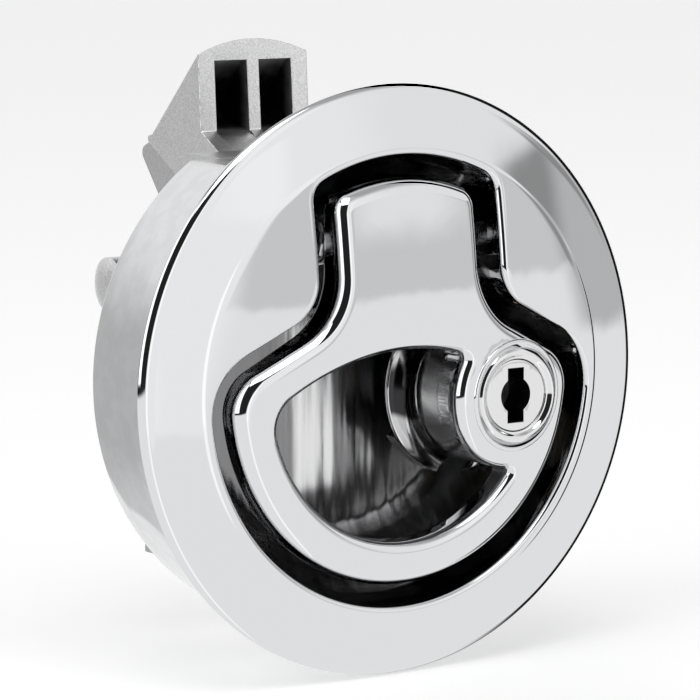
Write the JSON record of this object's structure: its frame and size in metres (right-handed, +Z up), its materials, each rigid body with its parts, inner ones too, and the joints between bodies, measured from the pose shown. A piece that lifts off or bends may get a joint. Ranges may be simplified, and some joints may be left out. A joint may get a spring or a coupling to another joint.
{
  "type": "hatch latch",
  "caption": "Round flush hatch latch: domed bezel with a finger cup, a keyed lift handle hinged at its top, and a sprung slam bolt in a guide behind the panel.",
  "frame": {"origin": "centre of the round panel cut-out, in the plane of the bezel's rear face", "axes": "+Y straight back through the panel, +Z up to the bolt, +X to the right as seen from the front"},
  "size_m": [0.061, 0.0434, 0.0641],
  "materials": {
    "chrome_bezel": "mirror polished chrome on a zinc casting",
    "chrome_handle": "mirror polished chrome on a zinc casting",
    "lock_chrome": "satin to bright chrome",
    "satin_bolt": "fine grained satin plating on a casting",
    "slide_zinc": "satin plated casting",
    "case_zinc": "satin plated casting",
    "cover_steel": "plain stainless sheet",
    "pin_steel": "drawn stainless wire",
    "spring_steel": "spring wire",
    "screw_steel": "stainless screws",
    "cam_steel": "plated steel",
    "brass_nut": "plain brass",
    "brass_wafer": "plain brass"
  },
  "bodies": {
    "body": {"housing": "chrome_bezel", "case": "case_zinc", "case_screws": "screw_steel", "hinge_pin": "pin_steel", "guide_cover": "cover_steel", "cover_screws": "screw_steel", "spring_left": "spring_steel", "spring_right": "spring_steel", "handle_spring": "spring_steel"},
    "lift_handle": {"handle": "chrome_handle", "lock_barrel": "lock_chrome", "barrel_nut": "brass_nut"},
    "bolt_slide_body": {"slide": "slide_zinc", "bolt": "satin_bolt", "bolt_screw": "screw_steel"},
    "lock_core": {"lock_plug": "lock_chrome", "wafers": "brass_wafer", "wafer_springs": "spring_steel", "lock_cam": "cam_steel", "cam_washer": "screw_steel", "cam_screw": "screw_steel"}
  },
  "joints": [
    {"name": "handle_pull", "type": "hinge", "parent": "body", "child": "lift_handle", "pos_m": [0, 0.0032, 0.0145], "axis": [-1, 0, 0], "range_deg": [0, 28], "stiffness_Nm_per_rad": 0.02, "springref_deg": -28.65, "deforming": ["handle_spring"]},
    {"name": "bolt_slide", "type": "slide", "parent": "body", "child": "bolt_slide_body", "axis": [0, 0, -1], "range_m": [0, 0.01054], "stiffness_N_per_m": 20, "springref_m": -0.025, "deforming": ["spring_left", "spring_right"]},
    {"name": "lock_turn", "type": "hinge", "parent": "lift_handle", "child": "lock_core", "pos_m": [0.0129, 0, -0.0021], "axis": [0, -1, 0], "range_deg": [0, 90]}
  ],
  "couplings": [
    {"joint": "handle_pull", "follows": "bolt_slide", "rad_per_m": 46.36}
  ]
}
